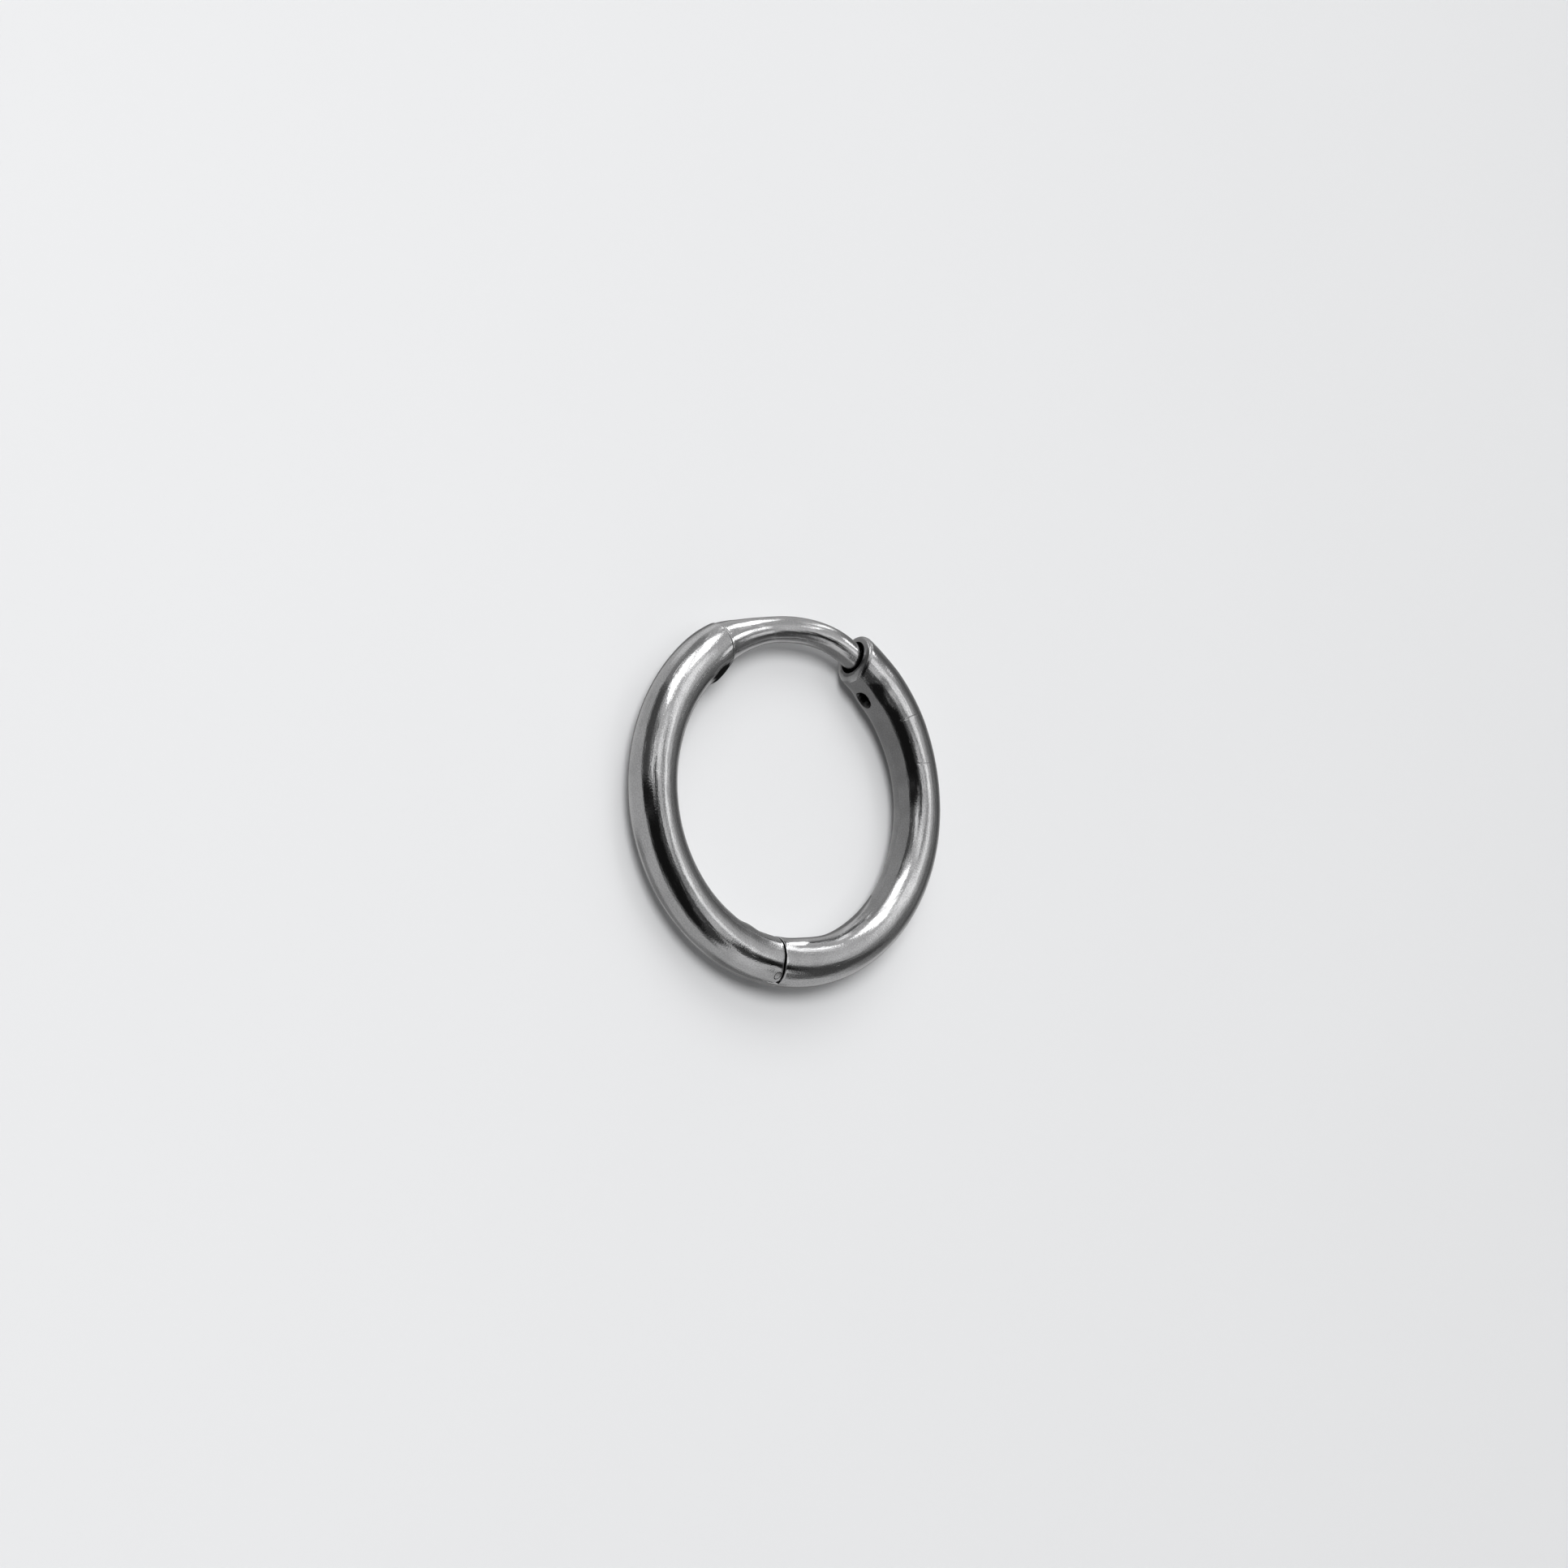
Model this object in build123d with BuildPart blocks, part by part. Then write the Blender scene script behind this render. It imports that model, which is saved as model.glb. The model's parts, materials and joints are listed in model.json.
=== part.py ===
"""Hinged hoop earring: two tube halves, an ear post and a hinge pin, lying on one side.

Millimetres and degrees. The hoop lies flat: its axis is +Z, the floor is z = 0 and the
hoop's centre is over the origin. A clock angle runs clockwise from +Y, seen from above:
the post is at the top (0), the hinge at the bottom (180), the left half has negative angles.
"""
import os
from math import cos, degrees, radians, sin, tan

from build123d import *

# Hoop and tube
hoop_diameter = 12.0
tube_diameter = 1.5
tube_wall = 0.26

# Where the two tube halves end, as clock angles
hinge_clock = 180.0
left_end_clock = -39.5
mouth_clock = 21.7

# Ear post
post_diameter = 0.84
post_tip_diameter = 0.56
post_insertion = 0.8
spigot_diameter = 0.84
spigot_length = 1.2
post_joint_gap = 0.03

# Hinge: the seam runs straight across the tube and leans clockwise near the outer side
seam_gap = 0.08
seam_setback = 0.03
seam_bend_offset = 0.15
seam_lean_offset = 0.16
plug_length = 1.2
pin_diameter = 0.18
pin_setback = 0.13
pin_offset = 0.5
pin_clearance = 0.02
tongue_thickness = 0.5
tongue_inset = 0.03
tongue_eye_radius = 0.25
tongue_clearance = 0.03
cheek_corner_radius = 0.2

# Mouth of the right half: cut aslant, so that its outer side reaches further
mouth_lean_angle = 12.5

# Catch hole in the inner wall of the right half, behind its mouth
catch_setback = 1.2
catch_length = 0.61
catch_width = 0.48

# Edge rounding
mouth_rounding = 0.18
tip_rounding = 0.2
joint_rounding = 0.04

# Sections of the swaged left end, counted back from the end
left_end_sections = [
    # back / tube diameter, radius / tube radius, outward shift / tube radius
    (0.00, 0.95, -0.04),
    (0.17, 1.01, -0.07),
    (0.32, 1.05, -0.07),
    (0.66, 1.06, -0.04),
    (0.82, 1.02, 0.00),
    (1.10, 1.00, 0.00),
    (1.60, 1.00, 0.00),
]

# Sections of the flared mouth, counted back from the middle of the rim
mouth_sections = [
    # back / tube diameter, radius / tube radius, outward shift / tube radius
    (0.00, 1.055, 0.105),
    (0.28, 1.055, 0.080),
    (0.56, 1.050, 0.060),
    (0.86, 1.080, 0.025),
    (1.25, 1.065, 0.025),
    (1.80, 1.050, 0.020),
    (2.40, 1.025, 0.005),
    (3.30, 1.000, 0.000),
]

# Sections of the left half's hinge end, counted back from the seam
left_hinge_sections = [
    # back / tube diameter, radius / tube radius, outward shift / tube radius
    (0.00, 1.015, -0.015),
    (0.35, 1.015, -0.015),
    (0.65, 1.015, -0.015),
    (0.90, 1.035, -0.035),
    (1.15, 1.005, -0.005),
    (1.45, 1.000, 0.000),
    (1.90, 1.000, 0.000),
]

# Sections of the right half's hinge end, counted back from the seam
right_hinge_sections = [
    # back / tube diameter, radius / tube radius, outward shift / tube radius
    (0.00, 1.030, -0.030),
    (0.35, 1.035, -0.035),
    (0.75, 1.045, -0.045),
    (1.15, 1.030, -0.030),
    (1.60, 1.000, 0.000),
    (2.20, 1.000, 0.000),
]

# Sections of the post's root, counted forward from the left tube's end
post_root_sections = [
    # forward / post diameter, radius / post radius, outward shift / post radius
    (0.00, 1.68, -0.07),
    (0.30, 1.53, -0.05),
    (0.60, 1.42, -0.06),
    (1.05, 1.27, -0.10),
    (1.60, 1.14, -0.12),
    (2.30, 1.02, -0.10),
]

# Sections of the post's plain stretch, counted along it from the root to the mouth
post_sections = [
    # share of the stretch, outward shift / post radius
    (0.20, -0.02),
    (0.45, 0.14),
    (0.70, 0.28),
    (0.85, 0.27),
    (1.00, 0.19),
]

# Sizes that follow from those above
tube_radius = tube_diameter / 2
core_radius = hoop_diameter / 2 - tube_radius
bore_radius = tube_radius - tube_wall
post_radius = post_diameter / 2
pin_radius = pin_diameter / 2
shape_tables = (left_end_sections, mouth_sections, left_hinge_sections, right_hinge_sections)
core_height = tube_radius * max(row[1] for table in shape_tables for row in table)
plain_step_angle = 15.0
hoop_axis = Axis((0, 0, core_height), (0, 0, -1))
pin_x = -pin_setback
pin_y = -(core_radius + pin_offset)
cut_reach = tube_diameter
mouth_overrun = tube_wall + tube_diameter * tan(radians(mouth_lean_angle))


def arc_angle(length):
    """Clock angle that a length along the tube's core takes."""
    return degrees(length / core_radius)


def across(clock, shift=0.0):
    """Plane across the tube, its local x pointing away from the hoop's centre."""
    angle = radians(clock)
    outward = Vector(sin(angle), cos(angle), 0)
    centre = Vector(0, 0, core_height) + outward * (core_radius + shift)
    return Plane(origin=centre, x_dir=outward, z_dir=(cos(angle), -sin(angle), 0))


def disc(clock, radius, shift=0.0):
    """Round section of the tube or the wire at one clock angle."""
    with BuildSketch(across(clock, shift)) as section:
        Circle(radius)
    return section.sketch.face()


def shaped(end_clock, table, turn, wall=0.0):
    """Discs for a table of sections, turned clockwise (1) or anticlockwise (-1) from one end."""
    discs = []
    for back, radius_share, shift_share in table:
        clock = end_clock + turn * arc_angle(back * tube_diameter)
        discs.append(disc(clock, radius_share * tube_radius - wall, shift_share * tube_radius))
    return discs


def plain(start_clock, end_clock, radius):
    """Discs of a plain round stretch between two clock angles, without its first and last."""
    count = max(2, round(abs(end_clock - start_clock) / plain_step_angle))
    return [disc(start_clock + k / count * (end_clock - start_clock), radius) for k in range(1, count)]


def table_span(table):
    """Clock angle that a table of tube sections takes."""
    return arc_angle(table[-1][0] * tube_diameter)


def half_skin(end_clock, end_table, seam_clock, hinge_table, turn, end_overrun=0.0):
    """Outside of one tube half, from its free end round to just past the seam."""
    plain_start = end_clock + turn * table_span(end_table)
    plain_end = seam_clock - turn * table_span(hinge_table)
    discs = shaped(end_clock, end_table, turn)
    if end_overrun:
        _, free_share, free_shift = end_table[0]
        free_clock = end_clock - turn * arc_angle(end_overrun)
        discs.insert(0, disc(free_clock, free_share * tube_radius, free_shift * tube_radius))
    discs += plain(plain_start, plain_end, tube_radius)
    discs += reversed(shaped(seam_clock, hinge_table, -turn))
    _, seam_share, seam_shift = hinge_table[0]
    past_seam_clock = seam_clock + turn * arc_angle(seam_lean_offset)
    discs.append(disc(past_seam_clock, seam_share * tube_radius, seam_shift * tube_radius))
    loft(discs)


def half_bore(end_clock, end_table, seam_clock, turn):
    """Hollow of one tube half, from well outside its free end to the plug at the hinge."""
    plain_start = end_clock + turn * table_span(end_table)
    plug_clock = seam_clock - turn * arc_angle(plug_length)
    mouth_radius = end_table[0][1] * tube_radius - tube_wall
    mouth_shift = end_table[0][2] * tube_radius
    discs = [disc(end_clock - turn * arc_angle(mouth_overrun), mouth_radius, mouth_shift)]
    discs += shaped(end_clock, end_table, turn, tube_wall)
    discs += plain(plain_start, plug_clock, bore_radius)
    discs.append(disc(plug_clock, bore_radius))
    loft(discs, mode=Mode.SUBTRACT)


def round_bar(start_clock, end_clock, radius, shift=0.0, mode=Mode.ADD):
    """Plain round bar from one clock angle clockwise to another."""
    revolve(
        disc(start_clock, radius, shift),
        axis=hoop_axis,
        revolution_arc=end_clock - start_clock,
        mode=mode,
    )


def end_face(piece, clock):
    """Flat face that ends a piece at a clock angle."""
    return piece.faces().filter_by(GeomType.PLANE).sort_by_distance(across(clock).origin)[0]


def cut_along_seam(side):
    """Cut off what lies past the seam, on its +X side (1, the left half) or its -X side (-1, the right)."""
    line_x = -seam_setback - side * seam_gap / 2
    bend_y = -(core_radius + seam_bend_offset)
    low_y = -(core_radius + tube_diameter)
    slope = seam_lean_offset / (tube_radius - seam_bend_offset)
    with BuildSketch(Plane.XY) as beyond:
        with BuildLine():
            Polyline(
                (line_x, -core_radius + tube_diameter),
                (line_x, bend_y),
                (line_x + slope * (bend_y - low_y), low_y),
                (side * tube_diameter, low_y),
                (side * tube_diameter, -core_radius + tube_diameter),
                close=True,
            )
        make_face()
    extrude(beyond.sketch.face(), amount=2 * cut_reach, mode=Mode.SUBTRACT)


plug_angle = arc_angle(plug_length)

# Tongue of the hinge: a plate with a round eye at the pin, just under the tube's outside
with BuildPart() as tongue:
    with BuildSketch(Plane.XY.offset(core_height - tongue_thickness / 2)):
        with Locations((pin_x, pin_y)):
            Circle(tongue_eye_radius)
            Rectangle(pin_setback + plug_length / 2, 2 * tongue_eye_radius, align=(Align.MIN, Align.CENTER))
            Circle(pin_radius + pin_clearance, mode=Mode.SUBTRACT)
    extrude(amount=tongue_thickness)
    tongue_radius = tube_radius - tongue_inset
    round_bar(hinge_clock - plug_angle, hinge_clock + plug_angle, tongue_radius, mode=Mode.INTERSECT)

# Right half: flared mouth, plain stretch, hinge end with its plug and tongue, and the catch hole
with BuildPart() as right_arc:
    half_skin(mouth_clock, mouth_sections, hinge_clock, right_hinge_sections, 1, mouth_overrun)
    half_bore(mouth_clock, mouth_sections, hinge_clock, 1)
    cut_along_seam(-1)
    leaned = across(mouth_clock - mouth_lean_angle)
    with BuildSketch(Plane(across(mouth_clock).origin, x_dir=leaned.x_dir, z_dir=-leaned.z_dir)):
        Circle(tube_diameter)
    extrude(amount=tube_diameter, mode=Mode.SUBTRACT)
    catch_clock = mouth_clock + arc_angle(catch_setback)
    catch_plane = across(catch_clock)
    with BuildSketch(Plane(catch_plane.origin, x_dir=catch_plane.z_dir, z_dir=-catch_plane.x_dir)):
        SlotOverall(catch_length, catch_width)
    extrude(amount=cut_reach, mode=Mode.SUBTRACT)
    fillet(end_face(right_arc, mouth_clock).outer_wire().edges(), mouth_rounding)
    add(tongue.part)
right_arc.part.label = "right_arc"

# Left half: swaged end, plain stretch, and the hinge end with its plug, slot and pin holes
with BuildPart() as left_arc:
    half_skin(left_end_clock, left_end_sections, -hinge_clock, left_hinge_sections, -1)
    half_bore(left_end_clock, left_end_sections, -hinge_clock, -1)
    cut_along_seam(1)
    fillet(end_face(left_arc, left_end_clock).outer_wire().edges(), joint_rounding)
    slot_reach = tongue_eye_radius + tongue_clearance
    slot_height = tongue_thickness + 2 * tongue_clearance
    with BuildSketch(Plane.XY.offset(core_height - slot_height / 2)):
        with Locations((pin_x, pin_y)):
            Circle(slot_reach)
            Rectangle(cut_reach, slot_reach, align=(Align.MIN, Align.MIN))
        with Locations((pin_x - slot_reach, pin_y)):
            Rectangle(cut_reach, cut_reach, align=(Align.MIN, Align.MAX))
    extrude(amount=slot_height, mode=Mode.SUBTRACT)
    with BuildSketch(Plane.XY):
        with Locations((pin_x, pin_y)):
            Rectangle(cut_reach, cut_reach, align=(Align.MIN, Align.MAX))
            Circle(cheek_corner_radius, mode=Mode.SUBTRACT)
            Circle(pin_radius + pin_clearance)
    extrude(amount=2 * cut_reach, mode=Mode.SUBTRACT)
left_arc.part.label = "left_arc"

# Ear post: tapered root with a spigot inside the left tube, wire, and tapered tip in the mouth
with BuildPart() as ear_post:
    root_clock = left_end_clock + arc_angle(post_joint_gap)
    wire_clock = root_clock + arc_angle(post_root_sections[-1][0] * post_diameter)
    tip_clock = mouth_clock + arc_angle(post_insertion)
    post_discs = []
    for forward, radius_share, shift_share in post_root_sections:
        clock = root_clock + arc_angle(forward * post_diameter)
        post_discs.append(disc(clock, radius_share * post_radius, shift_share * post_radius))
    for share, shift_share in post_sections:
        clock = wire_clock + share * (mouth_clock - wire_clock)
        post_discs.append(disc(clock, post_radius, shift_share * post_radius))
    tip_shift = post_sections[-1][1] * post_radius
    post_discs.append(disc(tip_clock, post_tip_diameter / 2, tip_shift))
    loft(post_discs)
    fillet(end_face(ear_post, tip_clock).edges(), tip_rounding)
    fillet(end_face(ear_post, root_clock).edges(), joint_rounding)
    root_shift = post_root_sections[0][2] * post_radius
    round_bar(root_clock - arc_angle(spigot_length), root_clock, spigot_diameter / 2, root_shift)
ear_post.part.label = "ear_post"

# Hinge pin, filed flush with the tube's outside
with BuildPart() as hinge_pin:
    with BuildSketch(Plane.XY):
        with Locations((pin_x, pin_y)):
            Circle(pin_radius)
    extrude(amount=2 * cut_reach)
    round_bar(-hinge_clock - plug_angle, -hinge_clock + plug_angle, tube_radius, mode=Mode.INTERSECT)
hinge_pin.part.label = "hinge_pin"

os.makedirs("parts", exist_ok=True)
export_step(left_arc.part, "parts/left_arc.step")
export_step(ear_post.part, "parts/ear_post.step")
export_step(right_arc.part, "parts/right_arc.step")
export_step(hinge_pin.part, "parts/hinge_pin.step")
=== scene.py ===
"""Small hinged hoop earring of polished steel, lying on a pale floor in soft studio light.

Metres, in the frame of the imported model: +Z is up, the floor is z = 0 and the hoop's centre is
over the origin. A clock angle runs clockwise from +Y, seen from above: the post is at the top
(0), the hinge at the bottom (180), and the left half has negative angles.
"""

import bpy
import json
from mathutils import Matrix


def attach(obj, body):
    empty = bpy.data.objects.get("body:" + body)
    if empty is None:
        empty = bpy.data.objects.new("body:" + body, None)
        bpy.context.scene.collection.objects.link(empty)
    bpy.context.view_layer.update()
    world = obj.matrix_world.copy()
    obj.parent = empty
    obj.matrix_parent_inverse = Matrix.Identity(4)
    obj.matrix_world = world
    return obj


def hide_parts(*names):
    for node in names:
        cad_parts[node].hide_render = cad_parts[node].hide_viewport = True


bl_info = {
    "name": "Hinged Hoop Earring",
    "version": (1, 0, 0),
    "blender": (4, 5, 0),
    "location": "View3D > Sidebar > Hoop",
    "description": "Builds a hinged hoop earring of polished steel and the studio it is shown in",
    "category": "Add Mesh",
}

import json
from math import cos, degrees, pi, radians, sin, tan

import bmesh
import bpy
import numpy as np
from bpy.props import FloatProperty, FloatVectorProperty, IntProperty, PointerProperty
from mathutils import Matrix, Vector
from mathutils.bvhtree import BVHTree

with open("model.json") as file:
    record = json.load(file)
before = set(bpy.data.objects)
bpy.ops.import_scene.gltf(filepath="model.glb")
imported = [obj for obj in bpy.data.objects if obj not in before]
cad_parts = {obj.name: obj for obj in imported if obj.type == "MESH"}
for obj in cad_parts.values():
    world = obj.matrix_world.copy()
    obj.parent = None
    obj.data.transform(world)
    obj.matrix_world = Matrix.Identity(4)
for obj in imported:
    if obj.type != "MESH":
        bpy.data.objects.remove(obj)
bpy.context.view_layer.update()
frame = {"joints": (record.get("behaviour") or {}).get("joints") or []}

MM = 0.001
PIN_PLACE = Vector(frame["joints"][0]["pos_m"])

# The photograph's camera, found from the hoop's outlines: its picture is square, in pixels
IMAGE_PIXELS = 1932
FOCAL_PIXELS = 3830.7
HOOP_OFF_CENTRE_PIXELS = (6.41, -14.48)
CAMERA_DIRECTION = (-0.5929, -0.2081, 0.7779)
PICTURE_RIGHT = (0.7777, 0.1027, 0.6202)
CAMERA_DISTANCE = 18.47  # in radii of the circle that the tube's middle follows

# Sections of the swaged left end, counted back from the end
LEFT_END_SECTIONS = (
    # back / tube diameter, radius, outward shift and swell of the inner side / tube radius
    (0.00, 0.935, 0.00, 0.060),
    (0.17, 0.965, 0.00, 0.120),
    (0.32, 0.985, 0.00, 0.135),
    (0.66, 1.000, 0.00, 0.100),
    (0.82, 1.000, 0.00, 0.020),
    (1.10, 1.000, 0.00, 0.000),
    (1.60, 1.000, 0.00, 0.000),
)

# Sections of the flared mouth, counted back from the middle of the rim
MOUTH_SECTIONS = (
    # back / tube diameter, radius, outward shift and swell of the inner side / tube radius
    (0.00, 1.055, 0.105, 0.00),
    (0.28, 1.055, 0.080, 0.00),
    (0.56, 1.050, 0.060, 0.00),
    (0.86, 1.080, 0.025, 0.00),
    (1.25, 1.065, 0.025, 0.00),
    (1.80, 1.050, 0.020, 0.00),
    (2.40, 1.025, 0.005, 0.00),
    (3.30, 1.000, 0.000, 0.00),
)

# Sections of the left half's hinge end, counted back from the seam
LEFT_HINGE_SECTIONS = (
    # back / tube diameter, radius, outward shift and swell of the inner side / tube radius
    (0.00, 1.00, 0.00, 0.030),
    (0.35, 1.00, 0.00, 0.030),
    (0.65, 1.00, 0.00, 0.030),
    (0.90, 1.00, 0.00, 0.075),
    (1.15, 1.00, 0.00, 0.010),
    (1.45, 1.00, 0.00, 0.000),
    (1.90, 1.00, 0.00, 0.000),
)

# Sections of the right half's hinge end, counted back from the seam
RIGHT_HINGE_SECTIONS = (
    # back / tube diameter, radius, outward shift and swell of the inner side / tube radius
    (0.00, 1.00, 0.00, 0.060),
    (0.35, 1.00, 0.00, 0.070),
    (0.75, 1.00, 0.00, 0.090),
    (1.15, 1.00, 0.00, 0.060),
    (1.60, 1.00, 0.00, 0.000),
    (2.20, 1.00, 0.00, 0.000),
)

# Sections of the post's root, counted forward from the left tube's end
POST_ROOT_SECTIONS = (
    # forward / post diameter, radius / post radius, outward shift / post radius
    (0.00, 1.68, -0.07),
    (0.30, 1.53, -0.05),
    (0.60, 1.42, -0.06),
    (1.05, 1.27, -0.10),
    (1.60, 1.14, -0.12),
    (2.30, 1.02, -0.10),
)

# Sections of the post's plain stretch, counted along it from the root to the mouth
POST_SECTIONS = (
    # share of the stretch, outward shift / post radius
    (0.20, -0.02),
    (0.45, 0.14),
    (0.70, 0.28),
    (0.85, 0.27),
    (1.00, 0.19),
)

# Where the post's tip starts to taper, as a share of its depth in the mouth, and its radius / post radius
TIP_TAPER_START = 0.3
TIP_TAPER_RADIUS = 0.98

# What the polished metal reflects: soft cards far around the hoop, each laid over the ones before it
STUDIO_CARDS = (
    # azimuth clockwise from +Y, elevation, half width, half height, softness in degrees; slope, brightness
    (168, -42, 36, 18, 13, 0.0, 0.205),
    (-110, -25, 75, 34, 30, 0.0, 0.52),
    (-165, -62, 45, 16, 14, 0.0, 0.28),
    (68, -58, 62, 20, 12, 0.0, 0.21),
    (-8, -22, 18, 12, 10, 0.0, 0.8),
    (78, 10, 38, 32, 26, 0.45, 0.205),
    (75, 4, 24, 9, 14, 0.0, 0.125),
    (50, 62, 48, 6, 8, 0.0, 1.35),
    (-40, 71, 22, 8, 8, 0.15, 1.25),
    (45, 75, 60, 3, 4, 0.0, 0.36),
    (140, 75, 45, 4, 5, 0.0, 0.28),
    (170, 62, 16, 9, 6, 0.0, 0.14),
    (130, 20, 13, 10, 8, 0.0, 0.14),
    (151, 36, 14, 14, 8, -1.0, 0.70),
    (173, 44, 13, 15, 6, -1.0, 0.06),
    (112, 37, 15, 21, 8, 0.0, 0.085),
    (132, 51, 20, 8, 4, 0.0, 0.07),
    (122, 48.5, 11, 6.5, 3, 0.0, 0.008),
    (32, 28, 13, 12, 12, 0.0, 0.55),
    (-30, 6, 22, 12, 10, 0.0, 0.3),
    (-70, 33, 16, 13, 8, 0.0, 0.22),
    (-66, 13, 25, 17, 11, -0.25, 0.09),
    (-87, 70, 24, 9, 6, -0.15, 0.045),
    (-71, 50, 11, 6, 7, 0.0, 1.1),
    (-140, 70, 46, 9, 6, 0.0, 0.08),
    (-140, 16, 42, 6, 10, 0.0, 0.12),
    (-137, 42.5, 40, 24, 4, 0.0, 0.010),
    (-97, 33, 9, 25, 4, 0.0, 0.014),
    (-105, 32, 1.2, 14, 3, 0.0, 0.07),
    (-28, 37, 11, 13, 4, -0.1, 3.2),
    (-1, 38, 11, 13, 4, 0.0, 3.2),
    (9, 5, 4, 7, 5, 0.0, 1.6),
    (37, 9, 2.5, 11, 3, 0.0, 2.5),
)

# Small glowing cards close to the hoop, each facing one place on the metal
NEAR_CARDS = (
    # clock angle it faces, azimuth, elevation, reach, half width and half height in mm, brightness
    (-30, 22, 4, 6.0, 0.9, 1.1, 3.2),
    (-31, 57, 31, 20.3, 2.9, 2.9, 1.0),
    (-31, 57, 31, 20.0, 2.3, 2.3, 3.2),
    (-26, 86, 35, 12.0, 1.5, 1.6, 1.1),
    (7, 52, 39, 2.5, 0.55, 0.55, 0.62),
    (174, 22.5, 1, 1.9, 0.22, 0.24, 3.0),
)

# Dark cards that stand inside the hoop along its right half, seen only in its reflections: painted shade
SHADE_SCREENS = (
    # clock angles of the ends, brightness
    (25, 66, 0.23),
    (66, 74, 0.25),
    (74, 82, 0.27),
    (82, 90, 0.295),
    (90, 98, 0.32),
    (98, 106, 0.345),
    (106, 118, 0.37),
)
SCREEN_RADIUS = 3.3 * MM
SCREEN_FOOT = 0.02 * MM
SCREEN_HEIGHT = 1.55 * MM
NEAR_CARD_AIM_HEIGHT = 1.15 * MM

# The lamp over the hoop and the plain backdrop that the camera sees
LAMP_PLACE = (-0.14, 0.07, 0.30)
LAMP_SIZE = 0.16
BACKDROP_COLOR = (0.84, 0.85, 0.87, 1.0)

# Painted shade: a black streak under the inner edge of the swaged end
PAINTED_SHADE_CLOCK = -47.3
PAINTED_SHADE_TURN = 149  # angle around the tube from its outer side
PAINTED_SHADE_SHRINK = (1.65, 3.0, 1.0)  # the larger, the shorter along the tube and the narrower around it
PAINTED_SHADE_RAGGED = (("grain", 0.3), ("dents", 0.8))  # wear patterns that break up its edge

# Short tool marks across the right tube half
NICKS = (
    # clock angle, angle around the tube from its outer side
    (49.6, 98),
    (67.4, 90),
)

# Patterns in the worn polish
WEAR_PATTERNS = {
    # name: stretch along and around the tube, scale per millimetre, detail, turn in degrees
    "drawn lines": ((0.12, 3.0, 1.0), 3.0, 3.0, 0.0),
    "crossing lines": ((0.4, 6.0, 1.0), 3.0, 2.0, 68.0),
    "smudges": ((1.0, 1.0, 1.0), 1.1, 5.0, 0.0),
    "waves": ((0.6, 1.0, 1.0), 1.7, 2.0, 0.0),
    "dents": ((0.2, 1.6, 1.0), 5.0, 2.0, 0.0),
    "grain": ((1.0, 1.0, 1.0), 20.0, 2.0, 0.0),
}

# How much each pattern raises or sinks the metal, times the wear height
WEAR_HEIGHTS = {
    "waves": 3.0,
    "dents": 0.7,
    "grain": 0.6,
    "drawn lines": 1.0,
    "scratches": -0.3,
    "nicks": -1.2,
}

# Where the metal is rougher, and darker from painted shade
BORE_WALL_SHARE = 0.7  # of the wall's thickness, from outside, past which the bore's rougher metal with painted shade starts
HOLE_MARGIN = 1.01  # takes in the catch hole's own edge
RIM_DULLNESS_AND_SHADE = 0.65  # of the mouth's rim, against the bore's

# How finely the pieces are divided
PLAIN_STEP_ANGLE = 15.0  # about so far between the sections of a half's plain stretch
SEAM_FACE_SHARES = (0.0, 0.35, 0.7, 0.9, 1.0)  # of the radius, for the rings that fill a seam's face
TONGUE_TRIM_ANGLE = 25  # to each side of the hinge, for the outline that trims the tongue


def size(name, millimetres, description):
    """A length that the user can set, given in millimetres."""
    return FloatProperty(
        name=name,
        description=description,
        default=millimetres * MM,
        precision=6,
        subtype="DISTANCE",
        unit="LENGTH",
    )


def angle(name, value, description):
    """A clock angle or a tilt that the user can set, given in degrees."""
    return FloatProperty(
        name=name, description=description, default=radians(value), subtype="ANGLE", unit="ROTATION"
    )


def color(name, value, description):
    """A colour that the user can set."""
    return FloatVectorProperty(name=name, description=description, default=value, size=3, subtype="COLOR")


class HoopSizes(bpy.types.PropertyGroup):
    """Sizes of the two tube halves."""
    hoop_diameter: size("Hoop diameter", 12.0, "Width of the hoop outside")
    tube_diameter: size("Tube diameter", 1.5, "Thickness of the tube")
    tube_wall: size("Tube wall", 0.26, "Thickness of the tube's wall")
    left_end_clock: angle("Left end", -39.5, "Clock angle of the left half's end")
    left_end_lean_angle: angle("Left end lean", 12.0, "Slant of the left half's end")
    mouth_clock: angle("Mouth", 21.7, "Clock angle of the right half's open end")
    mouth_lean_angle: angle("Mouth lean", 12.5, "Slant of the mouth")
    mouth_rounding: size("Mouth rounding", 0.18, "Rounding of the mouth's outer edge")
    joint_rounding: size("Joint rounding", 0.015, "Rounding of the edges where the post joins the left half")
    lip_rounding: size("Lip rounding", 0.012, "Rounding of the bore's edge")
    catch_setback: size("Catch setback", 1.2, "From the mouth to the catch hole's middle")
    catch_length: size("Catch length", 0.61, "Length of the catch hole along the tube")
    catch_width: size("Catch width", 0.48, "Width of the catch hole")
    sides: IntProperty(name="Sides", description="Faces around the tube", default=144, min=16)
    ring_step: size("Ring step", 0.07, "Distance between two rings of faces")


class PostSizes(bpy.types.PropertyGroup):
    """Sizes of the ear post."""
    post_diameter: size("Post diameter", 0.84, "Thickness of the wire that goes through the ear")
    tip_diameter: size("Tip diameter", 0.56, "Thickness of the wire's tip, inside the mouth")
    insertion: size("Insertion", 0.8, "How far the tip reaches into the mouth")
    spigot_diameter: size("Spigot diameter", 0.84, "Thickness of the root inside the left tube")
    spigot_length: size("Spigot length", 1.2, "Length of the root inside the left tube")
    joint_gap: size("Joint gap", 0.012, "Between the left tube's end and the post's shoulder")
    tip_rounding: size("Tip rounding", 0.2, "Rounding of the tip")


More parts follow.
